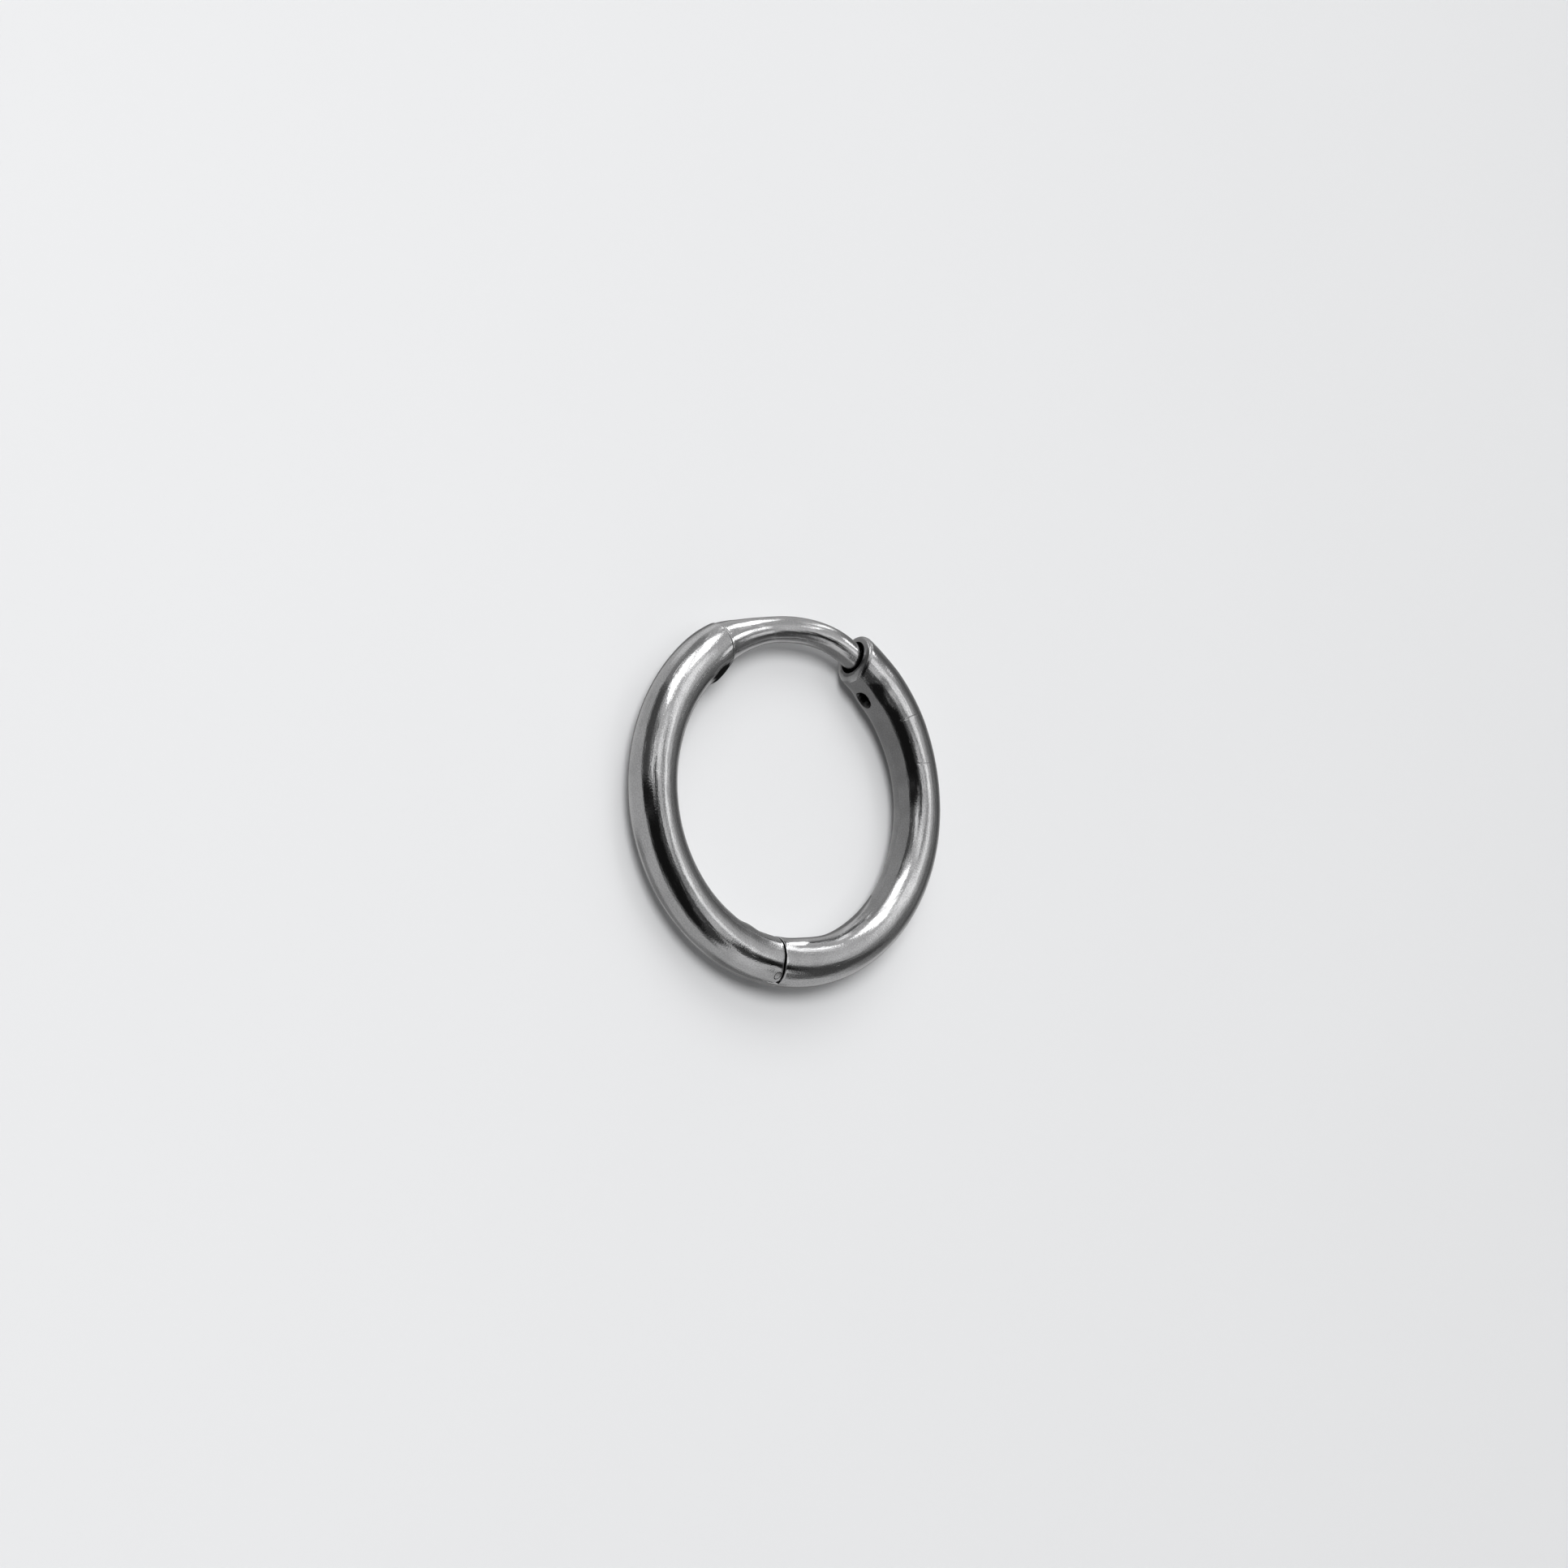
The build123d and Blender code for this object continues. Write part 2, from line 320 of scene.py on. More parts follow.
class HingeSizes(bpy.types.PropertyGroup):
    """Sizes of the hinge."""
    seam_gap: size("Seam gap", 0.08, "Between the two halves at the hinge")
    seam_setback: size("Seam setback", 0.03, "From the hoop's middle plane to the seam")
    seam_bend_offset: size("Seam bend offset", 0.15, "From the tube's middle to where the seam leans")
    seam_lean_offset: size("Seam lean", 0.16, "How far the seam leans at the outer side")
    seam_rounding: size("Seam rounding", 0.02, "Rounding of the seam's edges")
    plug_length: size("Plug length", 1.2, "Length of the solid plugs in the tube at the hinge")
    pin_diameter: size("Pin diameter", 0.18, "Thickness of the hinge pin")
    pin_clearance: size("Pin clearance", 0.02, "Between the pin and its hole")
    tongue_thickness: size("Tongue thickness", 0.5, "Thickness of the hinge tongue")
    tongue_inset: size("Tongue inset", 0.03, "From the tube's outside to the tongue's")
    tongue_eye_radius: size("Tongue eye radius", 0.25, "Radius of the tongue's round end")
    tongue_clearance: size("Tongue clearance", 0.03, "Between the tongue and its slot")
    cheek_corner_radius: size("Cheek corner radius", 0.2, "Rounding of the cheeks about the pin")


class SteelFinish(bpy.types.PropertyGroup):
    """Look of the polished steel."""
    color: color("Steel", (0.55, 0.55, 0.555), "Colour of the clean metal")
    roughness: FloatProperty(
        name="Roughness", description="Roughness of the clean metal", default=0.09, subtype="FACTOR"
    )
    wear_height: size("Wear height", 0.004, "Height of the waves and scratches in the metal")


class StudioSettings(bpy.types.PropertyGroup):
    """Floor and light of the studio."""
    floor_color: color("Floor", (0.82, 0.825, 0.835), "Colour of the floor")
    floor_size: size("Floor size", 1200.0, "Width of the floor")
    sky_brightness: FloatProperty(name="Sky", description="Brightness of the white tent", default=0.70)
    lamp_power: FloatProperty(name="Lamp", description="Power of the soft lamp", default=0.62, unit="POWER")


class Sizes:
    """All sizes of the earring, by group."""

    def __init__(self, context):
        scene = context.scene
        self.hoop, self.post, self.hinge = scene.earring_hoop, scene.earring_post, scene.earring_hinge


def tube_measures(hoop):
    """Radius of the tube and of the circle that its middle follows."""
    tube_radius = hoop.tube_diameter / 2
    return tube_radius, hoop.hoop_diameter / 2 - tube_radius


def natural_spline(places, values):
    """Smooth line through values at rising places, as a function of the place."""
    x, y = np.array(places, float), np.array(values, float)
    step = np.diff(x)
    slope = np.diff(y) / step
    count = len(x)
    matrix, target = np.eye(count), np.zeros(count)
    for i in range(1, count - 1):
        matrix[i, i - 1:i + 2] = step[i - 1], 2 * (step[i - 1] + step[i]), step[i]
        target[i] = 6 * (slope[i] - slope[i - 1])
    curvature = np.linalg.solve(matrix, target)

    def value(place):
        """The line's value at a place."""
        i = int(np.clip(np.searchsorted(x, place) - 1, 0, count - 2))
        before, after = place - x[i], x[i + 1] - place
        cubic = (curvature[i] * after**3 + curvature[i + 1] * before**3) / (6 * step[i])
        left = (y[i] / step[i] - curvature[i] * step[i] / 6) * after
        right = (y[i + 1] / step[i] - curvature[i + 1] * step[i] / 6) * before
        return float(cubic + left + right)

    return value


def fade(distance, reach):
    """1 at no distance, falling smoothly to 0 at the reach."""
    t = min(max(1 - distance / reach, 0.0), 1.0)
    return t * t * (3 - 2 * t)


def outward(clock):
    """Direction away from the hoop's centre at a clock angle."""
    return Vector((sin(radians(clock)), cos(radians(clock)), 0))


def clockwise(clock):
    """Direction along the tube at a clock angle."""
    return Vector((cos(radians(clock)), -sin(radians(clock)), 0))


class Ring:
    """One section: its centre, radius, swell of the inner side, and its slant and bend along the tube."""

    def __init__(self, clock, radius, shift, core_radius, swell=0.0, slant=0.0, bend=0.0):
        self.centre = outward(clock) * (core_radius + shift) + clockwise(clock) * slant * shift
        self.centre.z = PIN_PLACE.z
        self.radius = radius
        self.swell = swell
        self.slant = clockwise(clock) * slant
        self.bend = Vector((bend, 0, 0))


def socket(tree, name, kind, in_out="INPUT", default=None):
    """Adds an input or output to a node group."""
    made = tree.interface.new_socket(name=name, in_out=in_out, socket_type=kind)
    if default is not None:
        made.default_value = default
    return made


def add_node(tree, kind, inputs=(), **settings):
    """Adds a node, with its settings and its inputs given as values or as sockets to link."""
    node = tree.nodes.new(kind)
    for key, value in settings.items():
        setattr(node, key, value)
    for key, value in dict(inputs).items():
        if isinstance(value, bpy.types.NodeSocket):
            tree.links.new(value, node.inputs[key])
        else:
            node.inputs[key].default_value = value
    return node


def math_node(tree, operation, *values):
    """Adds a maths node and returns its output."""
    return add_node(tree, "ShaderNodeMath", enumerate(values), operation=operation).outputs[0]


def vector_node(tree, operation, *values):
    """Adds a vector maths node and returns its vector output."""
    node = tree.nodes.new("ShaderNodeVectorMath")
    node.operation = operation
    for i, value in enumerate(values):
        key = "Scale" if operation == "SCALE" and i == 1 else i
        if isinstance(value, bpy.types.NodeSocket):
            tree.links.new(value, node.inputs[key])
        else:
            node.inputs[key].default_value = value
    return node.outputs[0]


def ring_sweep_tree():
    """Geometry Nodes that stretch a skin over round sections, given as points with attributes."""
    found = bpy.data.node_groups.get("Ring Sweep")
    if found:
        return found
    tree = bpy.data.node_groups.new("Ring Sweep", "GeometryNodeTree")
    socket(tree, "Rings", "NodeSocketGeometry")
    socket(tree, "Sides", "NodeSocketInt", default=64)
    socket(tree, "Bend Start", "NodeSocketFloat", default=0.0)
    socket(tree, "Material", "NodeSocketMaterial")
    socket(tree, "Skin", "NodeSocketGeometry", "OUTPUT")
    start = tree.nodes.new("NodeGroupInput").outputs
    rings = start["Rings"]
    count = add_node(tree, "GeometryNodeAttributeDomainSize", {"Geometry": rings}).outputs["Point Count"]
    columns = math_node(tree, "ADD", start["Sides"], 1)
    grid = add_node(
        tree,
        "GeometryNodeMeshGrid",
        {"Size X": 1.0, "Size Y": 1.0, "Vertices X": count, "Vertices Y": columns},
    )
    place = tree.nodes.new("GeometryNodeInputPosition").outputs[0]
    split = add_node(tree, "ShaderNodeSeparateXYZ", {0: place}).outputs
    last = math_node(tree, "SUBTRACT", count, 1)
    row = math_node(tree, "MULTIPLY", math_node(tree, "ADD", split[0], 0.5), last)
    index = math_node(tree, "ROUND", row)
    turn = math_node(tree, "MULTIPLY", math_node(tree, "ADD", split[1], 0.5), 2 * pi)

    def of_ring(kind, value):
        """A ring's own value, for every point of its row."""
        node = tree.nodes.new("GeometryNodeSampleIndex")
        node.data_type, node.domain = kind, "POINT"
        tree.links.new(rings, node.inputs["Geometry"])
        tree.links.new(value, node.inputs["Value"])
        tree.links.new(index, node.inputs["Index"])
        return node.outputs["Value"]

    def named(kind, name):
        """A value that is stored with the rings' points."""
        node = add_node(tree, "GeometryNodeInputNamedAttribute", {"Name": name}, data_type=kind)
        return node.outputs["Attribute"]

    centre = of_ring("FLOAT_VECTOR", place)
    radius = of_ring("FLOAT", named("FLOAT", "section_radius"))
    swell = of_ring("FLOAT", named("FLOAT", "inner_swell"))
    slant = of_ring("FLOAT_VECTOR", named("FLOAT_VECTOR", "slant"))
    bend = of_ring("FLOAT_VECTOR", named("FLOAT_VECTOR", "bend"))
    away = vector_node(tree, "NORMALIZE", vector_node(tree, "MULTIPLY", centre, (1, 1, 0)))
    outer_share = math_node(tree, "COSINE", turn)
    across = math_node(tree, "MULTIPLY", radius, outer_share)
    inner_side = math_node(tree, "POWER", math_node(tree, "MINIMUM", outer_share, 0.0), 2.0)
    across = math_node(tree, "SUBTRACT", across, math_node(tree, "MULTIPLY", swell, inner_side))
    height = math_node(tree, "MULTIPLY", radius, math_node(tree, "SINE", turn))
    beyond = math_node(tree, "MAXIMUM", math_node(tree, "SUBTRACT", across, start["Bend Start"]), 0.0)
    rise = add_node(tree, "ShaderNodeCombineXYZ", {"Z": height}).outputs[0]
    point = vector_node(tree, "ADD", centre, vector_node(tree, "SCALE", away, across))
    point = vector_node(tree, "ADD", point, rise)
    point = vector_node(tree, "ADD", point, vector_node(tree, "SCALE", slant, across))
    point = vector_node(tree, "ADD", point, vector_node(tree, "SCALE", bend, beyond))
    skin = grid.outputs["Mesh"]
    for kind, inputs in (
        ("GeometryNodeSetPosition", {"Position": point}),
        ("GeometryNodeMergeByDistance", {"Distance": 1e-8}),
        ("GeometryNodeSetShadeSmooth", {}),
        ("GeometryNodeRealizeInstances", {}),
        ("GeometryNodeSetMaterial", {"Material": start["Material"]}),
    ):
        skin = add_node(tree, kind, {"Geometry": skin, **inputs}).outputs["Geometry"]
    tree.links.new(skin, tree.nodes.new("NodeGroupOutput").inputs["Skin"])
    return tree


def set_input(modifier, name, value):
    """Sets a Geometry Nodes modifier's input by its socket's identifier."""
    for item in modifier.node_group.interface.items_tree:
        if item.item_type == "SOCKET" and item.in_out == "INPUT" and item.name == name:
            modifier[item.identifier] = value


def make_object(name, mesh):
    """Puts a mesh in the scene as an object at the origin."""
    made = bpy.data.objects.new(name, mesh)
    bpy.context.scene.collection.objects.link(made)
    return made


def evaluated_mesh(made):
    """Turns an object and its modifiers into one plain mesh."""
    bpy.context.view_layer.update()
    graph = bpy.context.evaluated_depsgraph_get()
    mesh, old = bpy.data.meshes.new_from_object(made.evaluated_get(graph)), made.data
    made.modifiers.clear()
    made.data = mesh
    bpy.data.meshes.remove(old)
    return made


def face_outwards(made):
    """Turns a closed mesh's faces outwards."""
    work = bmesh.new()
    work.from_mesh(made.data)
    if work.calc_volume(signed=True) < 0:
        bmesh.ops.reverse_faces(work, faces=work.faces)
    work.to_mesh(made.data)
    work.free()
    made.data.update()


def sweep(name, rings, sides, bend_start=0.0):
    """Closed skin over a row of rings, whose first and last close it to a point."""
    mesh = bpy.data.meshes.new(name)
    mesh.from_pydata([r.centre for r in rings], [(i, i + 1) for i in range(len(rings) - 1)], [])
    for key, name_in_ring in (("section_radius", "radius"), ("inner_swell", "swell")):
        values = [getattr(r, name_in_ring) for r in rings]
        mesh.attributes.new(key, "FLOAT", "POINT").data.foreach_set("value", values)
    for key in ("slant", "bend"):
        vectors = mesh.attributes.new(key, "FLOAT_VECTOR", "POINT")
        vectors.data.foreach_set("vector", [x for r in rings for x in getattr(r, key)])
    made = make_object(name, mesh)
    modifier = made.modifiers.new("Ring Sweep", "NODES")
    modifier.node_group = ring_sweep_tree()
    set_input(modifier, "Sides", sides)
    set_input(modifier, "Bend Start", bend_start)
    set_input(modifier, "Material", polished_steel())
    evaluated_mesh(made)
    face_outwards(made)
    return made


class TubeHalf:
    """Shape of one tube half: place s runs from its free end (0) along the tube's core to the seam."""

    def __init__(self, sizes, end_clock, end_table, seam_clock, hinge_table, turn):
        hoop, hinge = sizes.hoop, sizes.hinge
        self.hoop, self.hinge, self.turn, self.end_clock = hoop, hinge, turn, end_clock
        self.tube_radius = hoop.tube_diameter / 2
        self.core_radius = hoop.hoop_diameter / 2 - self.tube_radius
        self.span = radians(abs(seam_clock - end_clock)) * self.core_radius
        rows = [(back * hoop.tube_diameter, *shape) for back, *shape in end_table]
        hinge_rows = [(self.span - back * hoop.tube_diameter, *shape) for back, *shape in hinge_table]
        first, last = rows[-1][0], hinge_rows[-1][0]
        plain_count = max(2, round(degrees((last - first) / self.core_radius) / PLAIN_STEP_ANGLE))
        rows += [(first + (last - first) * k / plain_count, 1.0, 0.0, 0.0) for k in range(1, plain_count)]
        rows += reversed(hinge_rows)
        places, *shapes = zip(*rows)
        self.radius_share, self.shift_share, self.swell_share = (natural_spline(places, v) for v in shapes)

    def ring(self, place, inset=0.0, share=1.0):
        """Ring at a place, set in from the skin or shrunk to a share of it."""
        clock = self.end_clock + self.turn * degrees(place / self.core_radius)
        shift = self.shift_share(place) * self.tube_radius
        radius = self.radius_share(place) * self.tube_radius
        swell = self.swell_share(place) * self.tube_radius
        lean_angle = -self.hoop.mouth_lean_angle if self.turn > 0 else self.hoop.left_end_lean_angle
        slant = tan(lean_angle) * fade(place, self.hoop.tube_diameter)
        lean = self.hinge.seam_lean_offset / (self.tube_radius - self.hinge.seam_bend_offset)
        bend = lean * fade(self.span - place, self.tube_radius)
        return Ring(clock, share * (radius - inset), shift, self.core_radius, share * swell, slant, bend)

    def rings(self, end_rounding):
        """All rings: seam face, skin, rounded free end, and the bore as far as the plug."""
        seam, lip, wall = self.hinge.seam_rounding, self.hoop.lip_rounding, self.hoop.tube_wall
        rings = [self.ring(self.span, seam, share) for share in SEAM_FACE_SHARES]
        for turn in np.linspace(0, pi / 2, 5)[1:]:
            rings.append(self.ring(self.span - seam * (1 - cos(turn)), seam * (1 - sin(turn))))
        start, stop = self.span - seam, end_rounding
        count = round((start - stop) / self.hoop.ring_step)
        rings += [self.ring(place) for place in np.linspace(start, stop, count)]
        for turn in np.linspace(0, pi / 2, 11)[1:]:
            rings.append(self.ring(end_rounding * (1 - sin(turn)), end_rounding * (1 - cos(turn))))
        for turn in np.linspace(0, pi / 2, 4):
            rings.append(self.ring(lip * (1 - cos(turn)), wall - lip * (1 - sin(turn))))
        deep = self.span - self.hinge.plug_length
        count = round(deep / self.hoop.ring_step / 2)
        rings += [self.ring(place, wall) for place in np.linspace(lip, deep, count)[1:]]
        rings.append(self.ring(deep, share=0.0))
        return rings


def prism(name, outline, low, high):
    """Upright block over an outline of points, between two heights."""
    count = len(outline)
    points = [(x, y, low) for x, y in outline] + [(x, y, high) for x, y in outline]
    faces = [tuple(range(count - 1, -1, -1)), tuple(range(count, 2 * count))]
    faces += [(i, (i + 1) % count, (i + 1) % count + count, i + count) for i in range(count)]
    mesh = bpy.data.meshes.new(name)
    mesh.from_pydata(points, [], faces)
    made = make_object(name, mesh)
    face_outwards(made)
    return made


def arc(centre, radius, start, end, steps=24):
    """Points on an arc in the plane, with its angles counted from +X in degrees."""
    turns = [radians(start + (end - start) * k / steps) for k in range(steps + 1)]
    return [(centre[0] + radius * cos(t), centre[1] + radius * sin(t)) for t in turns]


def carve(made, tool, operation="DIFFERENCE"):
    """Cuts a tool out of a piece, or joins it to the piece, keeping the skin's own shading."""
    skin = made.data.copy()
    modifier = made.modifiers.new("Carve", "BOOLEAN")
    modifier.operation, modifier.object, modifier.solver = operation, tool, "EXACT"
    evaluated_mesh(made)
    keep_shading(made.data, skin)
    bpy.data.meshes.remove(tool.data)
    bpy.data.meshes.remove(skin)


def keep_shading(mesh, skin):
    """Gives each corner that still lies on the old skin that skin's smooth normal."""
    skin.calc_loop_triangles()
    triangles = [tuple(t.vertices) for t in skin.loop_triangles]
    tree = BVHTree.FromPolygons([v.co for v in skin.vertices], triangles)
    old = [n.vector.copy() for n in skin.vertex_normals]
    normals = []
    for face in mesh.polygons:
        for corner in face.loop_indices:
            place = mesh.vertices[mesh.loops[corner].vertex_index].co
            hit, flat, found, distance = tree.find_nearest(place)
            normal = face.normal
            if flat is not None and flat.dot(face.normal) > 0.9 and distance < 1e-7:
                a, b, c = (skin.vertices[i].co for i in triangles[found])
                weights = barycentric(hit, a, b, c)
                parts = (old[i] * w for i, w in zip(triangles[found], weights))
                normal = sum(parts, Vector()).normalized()
            normals.append(normal)
    mesh.normals_split_custom_set(normals)


def barycentric(point, a, b, c):
    """Weights of a triangle's three corners at a point on it."""
    ab, ac, ap = b - a, c - a, point - a
    d00, d01, d11, d20, d21 = ab.dot(ab), ab.dot(ac), ac.dot(ac), ap.dot(ab), ap.dot(ac)
    area = d00 * d11 - d01 * d01
    if area == 0:
        return 1.0, 0.0, 0.0
    v, w = (d11 * d20 - d01 * d21) / area, (d00 * d21 - d01 * d20) / area
    return 1 - v - w, v, w


def catch_clock(hoop):
    """Clock angle of the catch hole's middle."""
    return degrees(hoop.mouth_clock + hoop.catch_setback / tube_measures(hoop)[1])


def lay_out(made, core_radius, tube_radius):
    """UV map with millimetres along the tube and around it."""
    mesh = made.data
    count = len(mesh.loops)
    vertex = np.empty(count, int)
    mesh.loops.foreach_get("vertex_index", vertex)
    place = np.empty(3 * len(mesh.vertices))
    mesh.vertices.foreach_get("co", place)
    place = place.reshape(-1, 3)[vertex]
    reach = np.hypot(place[:, 0], place[:, 1])
    along = np.arctan2(place[:, 0], place[:, 1])
    around = np.arctan2(place[:, 2] - PIN_PLACE.z, reach - core_radius)
    first = np.empty(len(mesh.polygons), int)
    total = np.empty(len(mesh.polygons), int)
    mesh.polygons.foreach_get("loop_start", first)
    mesh.polygons.foreach_get("loop_total", total)
    for values in (along, around):
        anchor = np.repeat(values[first], total)
        values[:] = anchor + (values - anchor + pi) % (2 * pi) - pi
    layer = mesh.uv_layers.new(name="Surface")
    uv = np.stack([along * core_radius / MM, around * tube_radius / MM], axis=1)
    layer.data.foreach_set("uv", uv.ravel())


def mark_dull_and_shade(made, hoop, rim=0.0):
    """Marks the metal's dullness and painted shade: the bore and the catch hole wholly, and the mouth's rim
    to a share.
    """
    tube_radius, core_radius = tube_measures(hoop)
    place = np.array([v.co for v in made.data.vertices])
    place[:, 2] -= PIN_PLACE.z
    from_core = np.hypot(place[:, 0], place[:, 1]) - core_radius
    bore = tube_radius - BORE_WALL_SHARE * hoop.tube_wall
    dull = (np.hypot(from_core, place[:, 2]) < bore).astype(float)
    behind = (np.arctan2(place[:, 0], place[:, 1]) - hoop.mouth_clock) * core_radius
    behind += tan(hoop.mouth_lean_angle) * from_core
    dull = np.maximum(dull, rim * np.clip(1 - np.abs(behind) / hoop.mouth_rounding, 0, 1))
    clock = catch_clock(hoop)
    beside = place @ np.array(clockwise(clock))
    beyond = np.maximum(np.abs(beside) - (hoop.catch_length - hoop.catch_width) / 2, 0)
    in_hole = np.hypot(beyond, place[:, 2]) < hoop.catch_width / 2 * HOLE_MARGIN
    dull[in_hole & (from_core < 0) & (place @ np.array(outward(clock)) > 0)] = 1.0
    layer = made.data.attributes.new("dull", "FLOAT", "POINT")
    layer.data.foreach_set("value", dull)


def finish_piece(made, body, hoop, *nodes):
    """Lays out a finished piece, gives it its metal and fastens it to its body."""
    tube_radius, core_radius = tube_measures(hoop)
    lay_out(made, core_radius, tube_radius)
    made.data.materials.clear()
    made.data.materials.append(polished_steel())
    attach(made, body)
    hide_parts(*nodes)


def wear_and_shade_group(hoop):
    """Shader group: fine scratches, tool marks and smudges of worn polished metal; painted shade where the
    metal is marked for dullness; and a black streak of painted shade under the swaged end.
    """
    tree = bpy.data.node_groups.new("Polish Wear", "ShaderNodeTree")
    socket(tree, "Surface", "NodeSocketVector")
    socket(tree, "Dull", "NodeSocketFloat", default=0.0)
    socket(tree, "Base Roughness", "NodeSocketFloat", default=0.1)
    for name in ("Tone", "Roughness", "Metal", "Height"):
        socket(tree, name, "NodeSocketFloat", "OUTPUT")
    start = tree.nodes.new("NodeGroupInput").outputs
    surface = start["Surface"]
    tube_radius, core_radius = tube_measures(hoop)

    def ramp(value, low, high, to_low=0.0, to_high=1.0):
        """Value between two others as it rises from low to high."""
        inputs = {"Value": value, "From Min": low, "From Max": high, "To Min": to_low, "To Max": to_high}
        return add_node(tree, "ShaderNodeMapRange", inputs).outputs[0]

    def chain(operation, *values):
        """One maths operation over several values, from the first to the last."""
        total = values[0]
        for value in values[1:]:
            total = math_node(tree, operation, total, value)
        return total

    wear = {}
    for name, (stretch, scale, detail, turn) in WEAR_PATTERNS.items():
        mapping = {"Vector": surface, "Scale": stretch, "Rotation": (0, 0, radians(turn))}
        laid = add_node(tree, "ShaderNodeMapping", mapping).outputs[0]
        noise = {"Vector": laid, "Scale": scale, "Detail": detail}
        wear[name] = add_node(tree, "ShaderNodeTexNoise", noise).outputs["Fac"]
    wear["scratches"] = ramp(wear["crossing lines"], 0.66, 0.72)

    split = add_node(tree, "ShaderNodeSeparateXYZ", {0: surface}).outputs

    def off(clock, turn):
        """Millimetres along the tube and around it from a place on its surface."""
        along = math_node(tree, "SUBTRACT", split[0], radians(clock) * core_radius / MM)
        around = math_node(tree, "SUBTRACT", split[1], radians(turn) * tube_radius / MM)
        return along, around

    wear["nicks"] = 0.0
    for clock, turn in NICKS:
        along, around = off(clock, turn)
        along = chain("ADD", along, math_node(tree, "MULTIPLY", around, 0.2))
        line = ramp(math_node(tree, "ABSOLUTE", along), 0.045, 0.01)
        length = ramp(math_node(tree, "ABSOLUTE", around), 0.4, 0.3)
        wear["nicks"] = chain("ADD", wear["nicks"], math_node(tree, "MULTIPLY", line, length))

    # Painted shade: a black streak, not metal, under the inner edge of the swaged end
    along, around = off(PAINTED_SHADE_CLOCK, PAINTED_SHADE_TURN)
    half_round = pi * tube_radius / MM
    around = math_node(tree, "WRAP", around, -half_round, half_round)
    reach = add_node(tree, "ShaderNodeCombineXYZ", {"X": along, "Y": around, "Z": 0.0}).outputs[0]
    reach = vector_node(tree, "MULTIPLY", reach, PAINTED_SHADE_SHRINK)
    reach = add_node(tree, "ShaderNodeVectorMath", {0: reach}, operation="LENGTH").outputs["Value"]
    for name, share in PAINTED_SHADE_RAGGED:
        reach = chain("ADD", reach, math_node(tree, "MULTIPLY", wear[name], share))
    painted_shade = ramp(reach, 1.75, 1.25, to_high=0.98)
    # Share outside the painted shade streak, where the metal stays metal
    clean = math_node(tree, "SUBTRACT", 1.0, painted_shade)

    rough = chain(
        "ADD",
        start["Base Roughness"],
        ramp(wear["smudges"], 0.35, 0.7, to_high=0.06),
        math_node(tree, "MULTIPLY", wear["scratches"], 0.10),
        math_node(tree, "MULTIPLY", start["Dull"], 0.3),
    )
    scratch_shade = math_node(tree, "MULTIPLY", wear["scratches"], 0.1)
    tone = chain(
        "MULTIPLY",
        chain("SUBTRACT", ramp(wear["smudges"], 0.33, 0.67, 1.04, 0.87), scratch_shade),
        # darker where marked for dullness: painted shade
        ramp(start["Dull"], 0.0, 1.0, 1.0, 0.3),
        ramp(wear["grain"], 0.3, 0.7, 0.88, 1.1),
        # painted shade streak, black
        clean,
    )
    reliefs = [math_node(tree, "MULTIPLY", wear[name], share) for name, share in WEAR_HEIGHTS.items()]
    height = chain("ADD", *reliefs)
    end = tree.nodes.new("NodeGroupOutput").inputs
    for name, value in (("Tone", tone), ("Roughness", rough), ("Metal", clean), ("Height", height)):
        tree.links.new(value, end[name])
    return tree


def polished_steel():
    """The polished steel that the whole earring is made of."""
    found = bpy.data.materials.get("Polished Steel")
    if found:
        return found
    finish = bpy.context.scene.earring_steel
    material = bpy.data.materials.new("Polished Steel")
    material.use_nodes = True
    tree = material.node_tree
    shader = tree.nodes["Principled BSDF"]
    shader.inputs["Specular IOR Level"].default_value = 0.0
    surface = add_node(tree, "ShaderNodeUVMap", uv_map="Surface").outputs[0]
    # Worn polish, with painted shade in the bore, the catch hole, the rim and under the swaged end
    wear = tree.nodes.new("ShaderNodeGroup")
    wear.node_tree = bpy.data.node_groups.get("Polish Wear") or wear_and_shade_group(bpy.context.scene.earring_hoop)
    tree.links.new(surface, wear.inputs["Surface"])
    # Dullness of the bore, the catch hole and the rim: rougher, and darkened with painted shade
    dull = add_node(tree, "ShaderNodeAttribute", attribute_name="dull")
    tree.links.new(dull.outputs["Fac"], wear.inputs["Dull"])
    wear.inputs["Base Roughness"].default_value = finish.roughness
    tint = vector_node(tree, "SCALE", tuple(finish.color), wear.outputs["Tone"])
    tree.links.new(tint, shader.inputs["Base Color"])
    tree.links.new(wear.outputs["Metal"], shader.inputs["Metallic"])
    tree.links.new(wear.outputs["Roughness"], shader.inputs["Roughness"])
    relief = {"Height": wear.outputs["Height"], "Distance": finish.wear_height, "Strength": 1.0}
    tree.links.new(add_node(tree, "ShaderNodeBump", relief).outputs[0], shader.inputs["Normal"])
    return material


def pale_floor():
    """Matt pale floor."""
    studio = bpy.context.scene.earring_studio
    material = bpy.data.materials.new("Pale Floor")
    material.use_nodes = True
    tree = material.node_tree
    shader = tree.nodes["Principled BSDF"]
    shader.inputs["Roughness"].default_value = 0.9
    shader.inputs["Specular IOR Level"].default_value = 0.2
    place = tree.nodes.new("ShaderNodeTexCoord").outputs["Object"]
    cloud = add_node(tree, "ShaderNodeTexNoise", {"Vector": place, "Scale": 60.0, "Detail": 3.0})
    faint = {"Value": cloud.outputs["Fac"], "To Min": 0.99, "To Max": 1.01}
    tone = add_node(tree, "ShaderNodeMapRange", faint).outputs[0]
    tint = vector_node(tree, "SCALE", tuple(studio.floor_color), tone)
    tree.links.new(tint, shader.inputs["Base Color"])
    return material


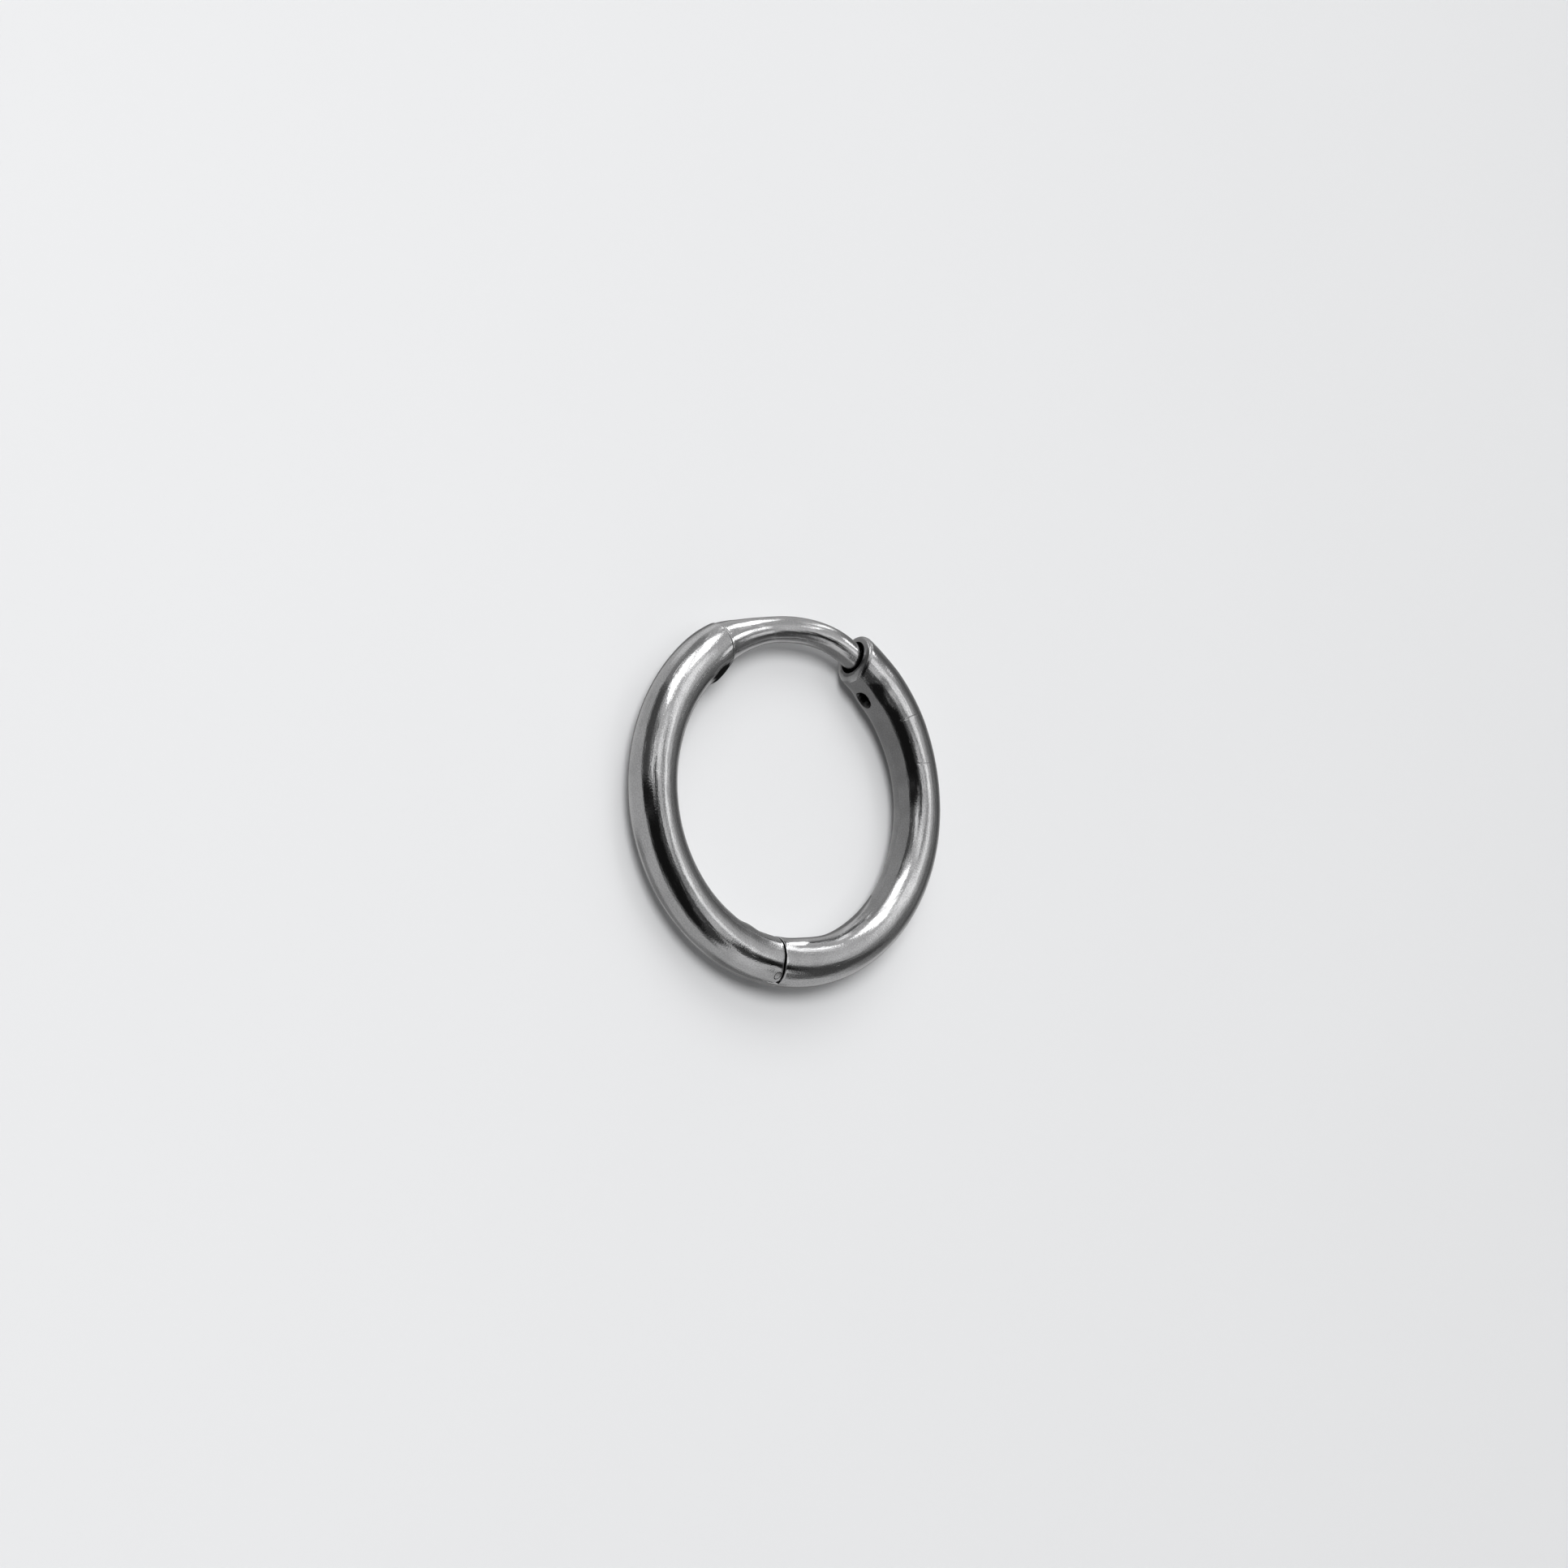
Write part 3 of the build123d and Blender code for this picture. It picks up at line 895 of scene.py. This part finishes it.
def seam_clock(hoop, hinge, side):
    """Clock angle of a half's face at the seam: side 1 for the right half, -1 for the left."""
    from_middle = hinge.seam_gap / 2 - side * hinge.seam_setback
    return side * (180 - degrees(from_middle / tube_measures(hoop)[1]))


class EARRING_OT_right_arc(bpy.types.Operator):
    """Right tube half with its flared mouth, catch hole and hinge tongue"""
    bl_idname = "earring.right_arc"
    bl_label = "Right Tube Half"

    def execute(self, context):
        sizes = Sizes(context)
        hoop, hinge = sizes.hoop, sizes.hinge
        end_clock, end_seam_clock = degrees(hoop.mouth_clock), seam_clock(hoop, hinge, 1)
        half = TubeHalf(sizes, end_clock, MOUTH_SECTIONS, end_seam_clock, RIGHT_HINGE_SECTIONS, 1)
        made = sweep("right_tube", half.rings(hoop.mouth_rounding), hoop.sides, hinge.seam_bend_offset)
        carve(made, catch_cutter(hoop))
        carve(made, hinge_tongue(hoop, hinge), "UNION")
        mark_dull_and_shade(made, hoop, RIM_DULLNESS_AND_SHADE)
        finish_piece(made, "right_half", hoop, "right_arc")
        return {"FINISHED"}


class EARRING_OT_left_arc(bpy.types.Operator):
    """Left tube half with its swaged end and the slot of the hinge"""
    bl_idname = "earring.left_arc"
    bl_label = "Left Tube Half"

    def execute(self, context):
        sizes = Sizes(context)
        hoop, hinge = sizes.hoop, sizes.hinge
        end_clock, end_seam_clock = degrees(hoop.left_end_clock), seam_clock(hoop, hinge, -1)
        half = TubeHalf(sizes, end_clock, LEFT_END_SECTIONS, end_seam_clock, LEFT_HINGE_SECTIONS, -1)
        made = sweep("left_tube", half.rings(hoop.joint_rounding), hoop.sides, hinge.seam_bend_offset)
        for tool in hinge_cutters(hoop, hinge):
            carve(made, tool)
        mark_dull_and_shade(made, hoop)
        finish_piece(made, "left_half", hoop, "left_arc")
        return {"FINISHED"}


def catch_cutter(hoop):
    """Rounded slot that cuts the catch hole through the inner wall behind the mouth."""
    core_radius = tube_measures(hoop)[1]
    clock = catch_clock(hoop)
    flat = (hoop.catch_length - hoop.catch_width) / 2
    outline = arc((flat, 0), hoop.catch_width / 2, -90, 90)
    outline += arc((-flat, 0), hoop.catch_width / 2, 90, 270)
    made = prism("catch_cutter", outline, 0, hoop.tube_diameter)
    turned = Matrix((clockwise(clock), Vector((0, 0, 1)), -outward(clock))).transposed().to_4x4()
    centre = outward(clock) * core_radius
    turned.translation = Vector((centre.x, centre.y, PIN_PLACE.z))
    made.data.transform(turned)
    face_outwards(made)
    return made


def pin_hole(hinge, sides=24):
    """Outline of the hole round the hinge pin."""
    radius = hinge.pin_diameter / 2 + hinge.pin_clearance
    return arc((PIN_PLACE.x, PIN_PLACE.y), radius, 0, 360 - 360 / sides, sides - 1)


def hinge_tongue(hoop, hinge):
    """Tongue of the hinge: a plate with a round eye, trimmed to just under the tube's outside."""
    tube_radius, core_radius = tube_measures(hoop)
    centre = (PIN_PLACE.x, PIN_PLACE.y)
    reach = hinge.tongue_eye_radius
    far = centre[0] + hinge.plug_length / 2
    outline = arc(centre, reach, 90, 270) + [(far, centre[1] - reach), (far, centre[1] + reach)]
    half = hinge.tongue_thickness / 2
    made = prism("hinge_tongue", outline, PIN_PLACE.z - half, PIN_PLACE.z + half)
    eye = prism("eye", pin_hole(hinge), 0, 2 * PIN_PLACE.z)
    outer = core_radius + tube_radius - hinge.tongue_inset
    inner = core_radius - tube_radius
    span = [radians(270 + a) for a in range(-TONGUE_TRIM_ANGLE, TONGUE_TRIM_ANGLE + 1)]
    band = [(outer * cos(a), outer * sin(a)) for a in span]
    band += [(inner * cos(a), inner * sin(a)) for a in reversed(span)]
    trim = prism("trim", band, 0, 2 * PIN_PLACE.z)
    for tool, operation in ((eye, "DIFFERENCE"), (trim, "INTERSECT")):
        modifier = made.modifiers.new("Trim", "BOOLEAN")
        modifier.operation, modifier.object, modifier.solver = operation, tool, "EXACT"
    evaluated_mesh(made)
    for tool in (eye, trim):
        bpy.data.meshes.remove(tool.data)
    return made


def hinge_cutters(hoop, hinge):
    """What is cut from the left half at the hinge: tongue's slot, rounded corner and pin hole."""
    x, y = PIN_PLACE.x, PIN_PLACE.y
    reach = hinge.tongue_eye_radius + hinge.tongue_clearance
    far = hoop.tube_diameter
    slot = arc((x, y), reach, 90, 180)
    slot += [(x - reach, y - far), (x + far, y - far), (x + far, y + reach)]
    half = hinge.tongue_thickness / 2 + hinge.tongue_clearance
    yield prism("slot", slot, PIN_PLACE.z - half, PIN_PLACE.z + half)
    corner = arc((x, y), hinge.cheek_corner_radius, 0, -90)
    corner += [(x, y - far), (x + far, y - far), (x + far, y)]
    yield prism("corner", corner, -far, 2 * PIN_PLACE.z + far)
    yield prism("hole", pin_hole(hinge), -far, 2 * PIN_PLACE.z + far)


class EARRING_OT_ear_post(bpy.types.Operator):
    """Thin wire over the top, with its tapered root and tip"""
    bl_idname = "earring.ear_post"
    bl_label = "Ear Post"

    def execute(self, context):
        sizes = Sizes(context)
        hoop, post = sizes.hoop, sizes.post
        core_radius = tube_measures(hoop)[1]
        wire_radius = post.post_diameter / 2
        root_clock = degrees(hoop.left_end_clock + post.joint_gap / core_radius)
        root_length = POST_ROOT_SECTIONS[-1][0] * post.post_diameter
        wire_length = (hoop.mouth_clock - radians(root_clock)) * core_radius - root_length
        rows = [(forward * post.post_diameter, *shape) for forward, *shape in POST_ROOT_SECTIONS]
        rows += [(root_length + share * wire_length, 1.0, shift) for share, shift in POST_SECTIONS]
        mouth, tip_shift = rows[-1][0], POST_SECTIONS[-1][1]
        rows.append((mouth + TIP_TAPER_START * post.insertion, TIP_TAPER_RADIUS, tip_shift))
        rows.append((mouth + post.insertion, post.tip_diameter / post.post_diameter, tip_shift))
        places, radii, shifts = zip(*rows)
        radius_share, shift_share = natural_spline(places, radii), natural_spline(places, shifts)

        def ring(place, radius):
            """Ring of the wire, at a place counted from the left tube's end."""
            clock = root_clock + degrees(place / core_radius)
            shift = shift_share(max(place, 0.0)) * wire_radius
            slant = tan(hoop.left_end_lean_angle) * fade(abs(place), hoop.tube_diameter)
            return Ring(clock, radius, shift, core_radius, slant=slant)

        spigot, edge, tip = post.spigot_diameter / 2, hoop.joint_rounding, post.tip_rounding
        root_radius = radii[0] * wire_radius
        rings = [ring(-post.spigot_length, share * spigot) for share in (0.0, 0.5, 1.0)]
        rings += [ring(place, spigot) for place in np.linspace(-post.spigot_length, 0, 12)[1:]]
        for turn in np.linspace(0, pi / 2, 6):
            rings.append(ring(edge * (1 - cos(turn)), root_radius - edge * (1 - sin(turn))))
        length = places[-1]
        steps = round((length - edge - tip) / hoop.ring_step)
        for k in range(1, steps):
            place = edge + (length - tip - edge) * k / steps
            rings.append(ring(place, radius_share(place) * wire_radius))
        for turn in np.linspace(0, pi / 2, 9):
            place = length - tip * (1 - sin(turn))
            rings.append(ring(place, radius_share(place) * wire_radius - tip * (1 - cos(turn))))
        rings.append(ring(length, 0.0))
        made = sweep("ear_post_wire", rings, hoop.sides * 2 // 3)
        finish_piece(made, "left_half", hoop, "ear_post")
        return {"FINISHED"}


class EARRING_OT_hinge_pin(bpy.types.Operator):
    """Pin of the hinge, filed flush with the tube"""
    bl_idname = "earring.hinge_pin"
    bl_label = "Hinge Pin"

    def execute(self, context):
        sizes = Sizes(context)
        hoop, hinge = sizes.hoop, sizes.hinge
        tube_radius, core_radius = tube_measures(hoop)
        sides, steps = 32, 6
        work = bmesh.new()
        layers = []
        rows = [(-1, k) for k in range(1, steps + 1)]
        rows += [(1, k) for k in range(steps, 0, -1)]
        for side, reach in rows:
            ring = []
            for k in range(sides):
                turn = 2 * pi * k / sides
                radius = hinge.pin_diameter / 2 * reach / steps
                x, y = PIN_PLACE.x + radius * cos(turn), PIN_PLACE.y + radius * sin(turn)
                from_core = (x * x + y * y) ** 0.5 - core_radius
                height = side * (tube_radius**2 - from_core**2) ** 0.5
                ring.append(work.verts.new((x, y, PIN_PLACE.z + height)))
            layers.append(ring)
        for low, high in zip(layers, layers[1:]):
            for k in range(sides):
                work.faces.new((low[k], low[(k + 1) % sides], high[(k + 1) % sides], high[k]))
        work.faces.new(reversed(layers[0]))
        work.faces.new(layers[-1])
        mesh = bpy.data.meshes.new("hinge_pin_rod")
        work.to_mesh(mesh)
        work.free()
        made = make_object("hinge_pin_rod", mesh)
        face_outwards(made)
        finish_piece(made, "left_half", hoop, "hinge_pin")
        return {"FINISHED"}


def studio_world(studio):
    """White tent with softboxes and dark cards, which shows as a plain backdrop to the camera."""
    world = bpy.data.worlds.new("Studio Tent")
    world.use_nodes = True
    tree = world.node_tree
    tree.nodes.clear()
    direction = tree.nodes.new("ShaderNodeTexCoord").outputs["Generated"]
    split = add_node(tree, "ShaderNodeSeparateXYZ", {0: direction}).outputs
    azimuth = math_node(tree, "DEGREES", math_node(tree, "ARCTAN2", split["X"], split["Y"]))
    elevation = math_node(tree, "DEGREES", math_node(tree, "ARCSINE", split["Z"]))
    upwards = {"Value": elevation, "From Min": 0.0, "From Max": 70.0, "To Min": 0.8, "To Max": 1.0}
    light = add_node(tree, "ShaderNodeMapRange", upwards).outputs[0]
    light = math_node(tree, "MULTIPLY", light, studio.sky_brightness)
    for card_azimuth, card_elevation, half_width, half_height, softness, slope, brightness in STUDIO_CARDS:
        off_side = math_node(tree, "WRAP", math_node(tree, "SUBTRACT", azimuth, card_azimuth), -180.0, 180.0)
        off_height = math_node(tree, "SUBTRACT", elevation, card_elevation)
        off_height = math_node(tree, "SUBTRACT", off_height, math_node(tree, "MULTIPLY", off_side, slope))
        masks = []
        for offset, half in ((off_side, half_width), (off_height, half_height)):
            edge = {
                "Value": math_node(tree, "ABSOLUTE", offset),
                "From Min": half + softness / 2,
                "From Max": half - softness / 2,
            }
            mask = add_node(tree, "ShaderNodeMapRange", edge, interpolation_type="SMOOTHSTEP")
            masks.append(mask.outputs[0])
        mask = math_node(tree, "MULTIPLY", *masks)
        light = add_node(tree, "ShaderNodeMix", {"Factor": mask, "A": light, "B": brightness}).outputs[0]
    lit = add_node(tree, "ShaderNodeBackground", {"Color": light})
    plain = add_node(tree, "ShaderNodeBackground", {"Color": BACKDROP_COLOR})
    camera_ray = tree.nodes.new("ShaderNodeLightPath").outputs["Is Camera Ray"]
    mixed = add_node(tree, "ShaderNodeMixShader", {0: camera_ray, 1: lit.outputs[0], 2: plain.outputs[0]})
    out = tree.nodes.new("ShaderNodeOutputWorld")
    tree.links.new(mixed.outputs[0], out.inputs["Surface"])
    return world


def glow(name, brightness):
    """Even glow on the front of a studio card, whose back is clear."""
    material = bpy.data.materials.new(name)
    material.use_nodes = True
    tree = material.node_tree
    tree.nodes.clear()
    grey = (brightness, brightness, brightness, 1.0)
    light = add_node(tree, "ShaderNodeEmission", {"Color": grey, "Strength": 1.0})
    clear = tree.nodes.new("ShaderNodeBsdfTransparent")
    behind = tree.nodes.new("ShaderNodeNewGeometry").outputs["Backfacing"]
    mixed = add_node(tree, "ShaderNodeMixShader", {0: behind, 1: light.outputs[0], 2: clear.outputs[0]})
    out = tree.nodes.new("ShaderNodeOutputMaterial")
    tree.links.new(mixed.outputs[0], out.inputs["Surface"])
    return material


def studio_card(name, points, faces, brightness):
    """Small card that is seen only in the metal's reflections."""
    mesh = bpy.data.meshes.new(name)
    mesh.from_pydata(points, [], faces)
    mesh.materials.append(glow(name, brightness))
    card = make_object(name, mesh)
    card.visible_camera = card.visible_diffuse = card.visible_shadow = False


def near_cards(core_radius, sides=32, steps=12):
    """Cards close to the hoop: dark ones along the inside of its right half, painted shade seen in the
    metal's reflections, and the glowing ones.
    """
    for k, (first, last, brightness) in enumerate(SHADE_SCREENS):
        foot = [outward(clock) for clock in np.linspace(first, last, steps)]
        count = len(foot)
        rows = ((core_radius, SCREEN_FOOT), (SCREEN_RADIUS, SCREEN_FOOT), (SCREEN_RADIUS, SCREEN_HEIGHT))
        points = [(p.x * reach, p.y * reach, level) for reach, level in rows for p in foot]
        starts = [row + i for row in (0, count) for i in range(count - 1)]
        faces = [(i + 1, i, i + count, i + 1 + count) for i in starts]
        studio_card(f"dark_screen_{k + 1}", points, faces, brightness)
    for k, row in enumerate(NEAR_CARDS):
        clock, azimuth, elevation, reach, half_width, half_height, brightness = row
        level = outward(azimuth) * cos(radians(elevation))
        towards = Vector((level.x, level.y, sin(radians(elevation))))
        side = towards.cross(Vector((0, 0, 1))).normalized()
        over = side.cross(towards)
        centre = outward(clock) * core_radius + Vector((0, 0, NEAR_CARD_AIM_HEIGHT)) + towards * reach * MM
        turns = [2 * pi * i / sides for i in range(sides)]
        outline = [centre + (side * cos(t) * half_width + over * sin(t) * half_height) * MM for t in turns]
        studio_card(f"near_card_{k + 1}", outline, [tuple(range(sides))], brightness)


class EARRING_OT_studio(bpy.types.Operator):
    """Pale floor, soft light and the camera"""
    bl_idname = "earring.studio"
    bl_label = "Studio"

    def execute(self, context):
        scene = context.scene
        studio = scene.earring_studio
        core_radius = tube_measures(scene.earring_hoop)[1]
        half = studio.floor_size / 2
        mesh = bpy.data.meshes.new("floor")
        corners = [(-half, -half, 0), (half, -half, 0), (half, half, 0), (-half, half, 0)]
        mesh.from_pydata(corners, [], [(0, 1, 2, 3)])
        mesh.materials.append(pale_floor())
        floor = make_object("floor", mesh)
        floor.visible_glossy = False
        near_cards(core_radius)
        scene.world = studio_world(studio)
        light = bpy.data.lights.new("Soft Light", "AREA")
        light.shape, light.size, light.energy = "DISK", LAMP_SIZE, studio.lamp_power
        lamp = make_object("soft_light", light)
        lamp.location = LAMP_PLACE
        lamp.rotation_euler = (-lamp.location).to_track_quat("-Z", "Y").to_euler()
        lamp.visible_glossy = False
        scene.camera = photo_camera(core_radius)
        scene.view_settings.view_transform = "Standard"
        return {"FINISHED"}


def photo_camera(core_radius):
    """Camera at the photograph's angle to the hoop."""
    towards = Vector(CAMERA_DIRECTION).normalized()
    up = towards.cross(Vector(PICTURE_RIGHT)).normalized()
    right = up.cross(towards)
    aim_x, aim_y = (pixels / FOCAL_PIXELS for pixels in HOOP_OFF_CENTRE_PIXELS)
    back = (towards + right * aim_x + up * aim_y).normalized()
    side = up.cross(back).normalized()
    data = bpy.data.cameras.new("Camera")
    data.sensor_width = 36.0
    data.lens = FOCAL_PIXELS / IMAGE_PIXELS * data.sensor_width
    data.clip_start, data.clip_end = 0.005, 10.0
    camera = make_object("camera", data)
    placed = Matrix((side, back.cross(side), back)).transposed().to_4x4()
    placed.translation = towards * CAMERA_DISTANCE * core_radius + Vector((0, 0, PIN_PLACE.z))
    camera.matrix_world = placed
    return camera


class EARRING_PT_build(bpy.types.Panel):
    """Lists the pieces of the earring and its sizes"""
    bl_label = "Hoop Earring"
    bl_idname = "EARRING_PT_build"
    bl_space_type = "VIEW_3D"
    bl_region_type = "UI"
    bl_category = "Hoop"

    def draw(self, context):
        for operator in OPERATORS:
            self.layout.operator(operator.bl_idname)
        for name in GROUPS:
            group = getattr(context.scene, name)
            box = self.layout.box()
            for key in group.__annotations__:
                box.prop(group, key)


GROUPS = {
    "earring_hoop": HoopSizes,
    "earring_post": PostSizes,
    "earring_hinge": HingeSizes,
    "earring_steel": SteelFinish,
    "earring_studio": StudioSettings,
}
OPERATORS = (
    EARRING_OT_right_arc,
    EARRING_OT_left_arc,
    EARRING_OT_ear_post,
    EARRING_OT_hinge_pin,
    EARRING_OT_studio,
)


def register():
    """Registers the classes and adds the groups of sizes to the scene."""
    for cls in (*GROUPS.values(), *OPERATORS, EARRING_PT_build):
        bpy.utils.register_class(cls)
    for key, group in GROUPS.items():
        setattr(bpy.types.Scene, key, PointerProperty(type=group))


def unregister():
    """Takes the groups of sizes and the classes away again."""
    for key in GROUPS:
        delattr(bpy.types.Scene, key)
    for cls in (EARRING_PT_build, *reversed(OPERATORS), *reversed(GROUPS.values())):
        bpy.utils.unregister_class(cls)


def main():
    """Builds the earring and its studio."""
    register()
    bpy.ops.earring.right_arc()
    bpy.ops.earring.left_arc()
    bpy.ops.earring.ear_post()
    bpy.ops.earring.hinge_pin()
    bpy.ops.earring.studio()


if __name__ == "__main__":
    main()
